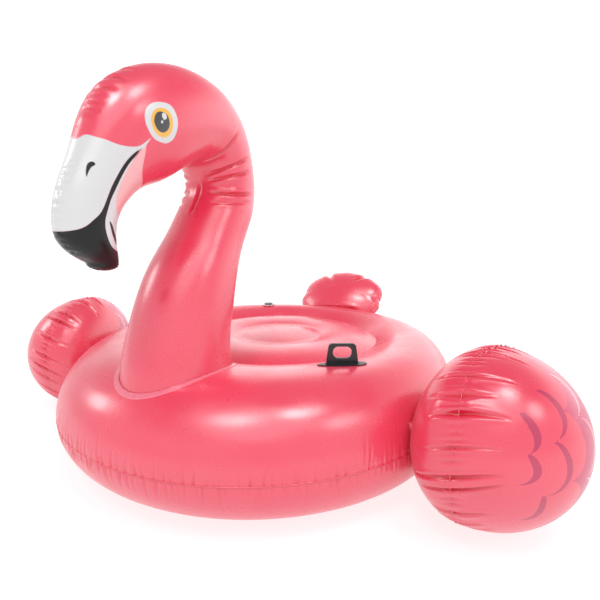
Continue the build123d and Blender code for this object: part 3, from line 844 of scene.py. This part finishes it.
def makeTail():
    columns, half = tail["columns"], tail["rows"]
    turn = np.linspace(0, 2 * np.pi, columns, endpoint=False)
    ramp = np.radians(90 * (1 - np.linspace(0, 1, half + 1)[:-1]))
    lift = np.concatenate([-ramp, [0], ramp[::-1]])[1:-1]
    depth = np.where(lift < 0, tail["frontDepth"], tail["rearDepth"])[:, None]
    # feather lobes round the free edge
    fromTop = turn - np.pi / 2
    lobes = tail["notchDepth"] * (1 - np.abs(np.cos(3 * fromTop))) * smooth(-0.35, -0.05, np.sin(turn))
    lobes = tail["spread"] - lobes
    spread = np.cos(lift)[:, None]
    outline = 1 - (1 - lobes)[None] * spread ** 2
    local = np.stack([
        tail["halfWidth"] * spread * outline * np.cos(turn)[None],
        depth * np.sin(lift)[:, None] * np.ones(columns)[None],
        tail["halfHeight"] * spread * outline * np.sin(turn)[None]], -1)
    step = np.linalg.norm(np.diff(local, axis=0), axis=-1).mean(1)
    along = np.concatenate([[0], np.cumsum(step)])
    rimRow = half - 1
    away = np.abs(along - along[rimRow])[:, None]
    mean = (tail["halfWidth"] + tail["halfHeight"]) / 2
    folds = seamPuckers(turn[None] * mean, away, 2 * np.pi * mean, tail["puckers"], 41)
    back = seamPuckers(turn[None] * mean, away, 2 * np.pi * mean, tail["puckers"], 42)
    folds = np.where(np.arange(len(along))[:, None] < rimRow, folds, back)
    for notch in tail["notches"]:
        apart = (turn[None] - np.pi / 2 - math.radians(notch) + np.pi) % (2 * np.pi) - np.pi
        wide, deep = tail["notchFold"]
        folds += creaseProfile(apart * mean * (1 - away / 0.25), wide, deep) * smooth(0.15, 0.0, away)
    low, wide, deep, reach = tail["rootFold"]
    front = np.arange(len(along))[:, None] < rimRow
    rootFold = creaseProfile(local[..., 2] - low - 0.06 * local[..., 0], wide, deep)
    folds += rootFold * smooth(reach, 0.6 * reach, np.abs(local[..., 0])) * front
    normal = rowNormals(local)
    if normal[-3, 0, 1] < 0:
        normal = -normal
    local = local - normal * folds[..., None]
    lean = math.radians(tail["lean"])
    y = local[..., 1] * math.cos(lean) + local[..., 2] * math.sin(lean)
    y = y + tail["centreY"] + raft["centreY"]
    z = -local[..., 1] * math.sin(lean) + local[..., 2] * math.cos(lean) + tail["centreZ"]
    points = np.stack([local[..., 0], y, z], -1)
    rimPaths.append(points[rimRow])
    piece = gridMesh("tailFan", points, startPole=True, endPole=True)
    faceOutwards(piece)
    # painted shade: deeper pink with the folds' depth
    setAttribute(piece, "foldShade", np.clip(folds / 0.006, 0, 1))
    return piece


finishPiece(makeTail(), vinylMaterial("pinkTailVinyl"), "raft",
            ["tail_front_skin", "tail_rear_skin"])
print("tail made")


# weld beads: a thin round bead swept along every rim

weldBead = {"radius": 0.0011, "sides": 6}


def beadTree(material):
    tree = bpy.data.node_groups.new("weldBead", "GeometryNodeTree")
    tree.interface.new_socket("Geometry", in_out="INPUT", socket_type="NodeSocketGeometry")
    radius = tree.interface.new_socket("Bead Radius", in_out="INPUT", socket_type="NodeSocketFloat")
    tree.interface.new_socket("Geometry", in_out="OUTPUT", socket_type="NodeSocketGeometry")
    start, path, section, sweep, real, paint, end = (tree.nodes.new(kind) for kind in (
        "NodeGroupInput", "GeometryNodeMeshToCurve", "GeometryNodeCurvePrimitiveCircle",
        "GeometryNodeCurveToMesh", "GeometryNodeRealizeInstances", "GeometryNodeSetMaterial",
        "NodeGroupOutput"))
    section.inputs["Resolution"].default_value = weldBead["sides"]
    paint.inputs["Material"].default_value = material
    link(tree, start.outputs["Geometry"], path.inputs["Mesh"])
    link(tree, start.outputs["Bead Radius"], section.inputs["Radius"])
    link(tree, path.outputs["Curve"], sweep.inputs["Curve"])
    link(tree, section.outputs["Curve"], sweep.inputs["Profile Curve"])
    link(tree, sweep.outputs["Mesh"], real.inputs["Geometry"])
    link(tree, real.outputs["Geometry"], paint.inputs["Geometry"])
    link(tree, paint.outputs["Geometry"], end.inputs["Geometry"])
    return tree, radius.identifier


def makeBeads(paths, material):
    verts, edges = [], []
    for path in paths:
        first, count = len(verts), len(path)
        verts += path.tolist()
        edges += [(first + k, first + (k + 1) % count) for k in range(count)]
    mesh = bpy.data.meshes.new("weldPaths")
    mesh.from_pydata(verts, edges, [])
    thing = bpy.data.objects.new("weldBeads", mesh)
    bpy.context.scene.collection.objects.link(thing)
    tree, radiusInput = beadTree(material)
    modifier = thing.modifiers.new("weldBead", "NODES")
    modifier.node_group = tree
    modifier[radiusInput] = weldBead["radius"]
    thing.update_tag()
    depsgraph = bpy.context.evaluated_depsgraph_get()
    swept = bpy.data.meshes.new_from_object(thing.evaluated_get(depsgraph), depsgraph=depsgraph)
    thing.modifiers.remove(modifier)
    thing.data = swept
    swept.polygons.foreach_set("use_smooth", [True] * len(swept.polygons))
    return thing


circle = np.linspace(0, 2 * np.pi, 720, endpoint=False)
ringPath = np.stack([raft["radius"] * np.cos(circle), raft["radius"] * np.sin(circle) + raft["centreY"],
                     np.full(circle.shape, raft["seamZ"])], -1)
beadVinyl = vinylMaterial("weldBeadVinyl", base=(0.78, 0.05, 0.11, 1))
finishPiece(makeBeads([ringPath] + rimPaths, beadVinyl), beadVinyl, "raft", [])
print("weld beads made")


# CAD pieces that keep their shape

for name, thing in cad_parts.items():
    if "grip" in name:
        material = blackMoulded
    elif name.startswith("main_valve"):
        material = greyMoulded if name.endswith(("cap", "insert", "tether")) else milkyMoulded
    elif "_valve_" in name:
        material = milkyMoulded
    elif "patch" in name or "tail" in name:
        material = raftVinyl
    elif "flange" in name:
        material = weldMaterial
    else:
        material = innerFilm
    thing.data.materials.clear()
    thing.data.materials.append(material)
print("materials set")


# camera, floor and light

studio = {
    "cameraPlace": (0.909, -1.330, 0.752),     # from the raft's middle
    "cameraAim": (0.101, 0.110, 0.479),
    "lens": 26.44,
    "sensor": 36.0,
    "floorSize": 400.0,
    "wall": 0.84,
    "backWall": 1.9,
    "ceiling": 0.26,
    "wallTop": 0.45,
    "ceilingStart": 0.75,
    "floorColour": 0.30,
    "floorGlow": 0.78,
    # name, turn to the right of the front, height, how wide it looks, power
    "suns": [("topSun", 30, 60, 50, 0.80), ("frontSun", 4, 65, 14, 0.48), ("sideSun", 74, 69, 14, 0.44),
             ("leftSun", -74, 25, 14, 0.26), ("rightSun", 84, 42, 16, 0.28)],
}


def lookAt(place, aim):
    direction = Vector(aim) - Vector(place)
    return direction.to_track_quat("-Z", "Y").to_euler()


def makeRoom():
    # a pale room: bright walls all round, a dimmer ceiling
    world = bpy.data.worlds.new("paleRoom")
    bpy.context.scene.world = world
    world.use_nodes = True
    tree = world.node_tree
    place = tree.nodes.new("ShaderNodeTexCoord")
    split = tree.nodes.new("ShaderNodeSeparateXYZ")
    link(tree, place.outputs["Generated"], split.inputs[0])
    shade = rangeNode(tree, split.outputs["Z"], studio["wallTop"], studio["ceilingStart"], 1.0,
                      studio["ceiling"])
    wall = rangeNode(tree, split.outputs["Y"], 0.2, 0.9, studio["wall"], studio["backWall"])
    both = tree.nodes.new("ShaderNodeMath")
    both.operation = "MULTIPLY"
    link(tree, shade, both.inputs[0])
    link(tree, wall, both.inputs[1])
    background = tree.nodes["Background"]
    background.inputs["Color"].default_value = (1, 1, 1, 1)
    link(tree, both.outputs[0], background.inputs["Strength"])


def makeStudio():
    shift = Vector((0, raft["centreY"], 0))
    camera = bpy.data.cameras.new("camera")
    camera.lens = studio["lens"]
    camera.sensor_width = studio["sensor"]
    holder = bpy.data.objects.new("camera", camera)
    place = Vector(studio["cameraPlace"]) + shift
    holder.location = place
    holder.rotation_euler = lookAt(place, Vector(studio["cameraAim"]) + shift)
    bpy.context.scene.collection.objects.link(holder)
    bpy.context.scene.camera = holder
    half = studio["floorSize"] / 2
    mesh = bpy.data.meshes.new("floor")
    corners = [(-half, -half, 0), (half, -half, 0), (half, half, 0), (-half, half, 0)]
    mesh.from_pydata(corners, [], [(0, 1, 2, 3)])
    floor = bpy.data.objects.new("floor", mesh)
    bpy.context.scene.collection.objects.link(floor)
    material, tree, shader = newMaterial("paleFloor")
    shader.inputs["Base Color"].default_value = (studio["floorColour"],) * 3 + (1,)
    shader.inputs["Emission Color"].default_value = (1, 1, 1, 1)
    shader.inputs["Emission Strength"].default_value = studio["floorGlow"]
    shader.inputs["Roughness"].default_value = 0.9
    shader.inputs["Specular IOR Level"].default_value = 0.1
    mesh.materials.append(material)
    makeRoom()
    for name, turn, height, wide, power in studio["suns"]:
        data = bpy.data.lights.new(name, "SUN")
        data.angle = math.radians(wide)
        data.energy = power
        lamp = bpy.data.objects.new(name, data)
        up, around = math.radians(height), math.radians(turn)
        where = (math.cos(up) * math.sin(around), -math.cos(up) * math.cos(around), math.sin(up))
        lamp.location = Vector(where) * 4
        lamp.rotation_euler = lookAt(where, (0, 0, 0))
        bpy.context.scene.collection.objects.link(lamp)
    bpy.context.scene.view_settings.view_transform = "Standard"


makeStudio()
print("studio made")
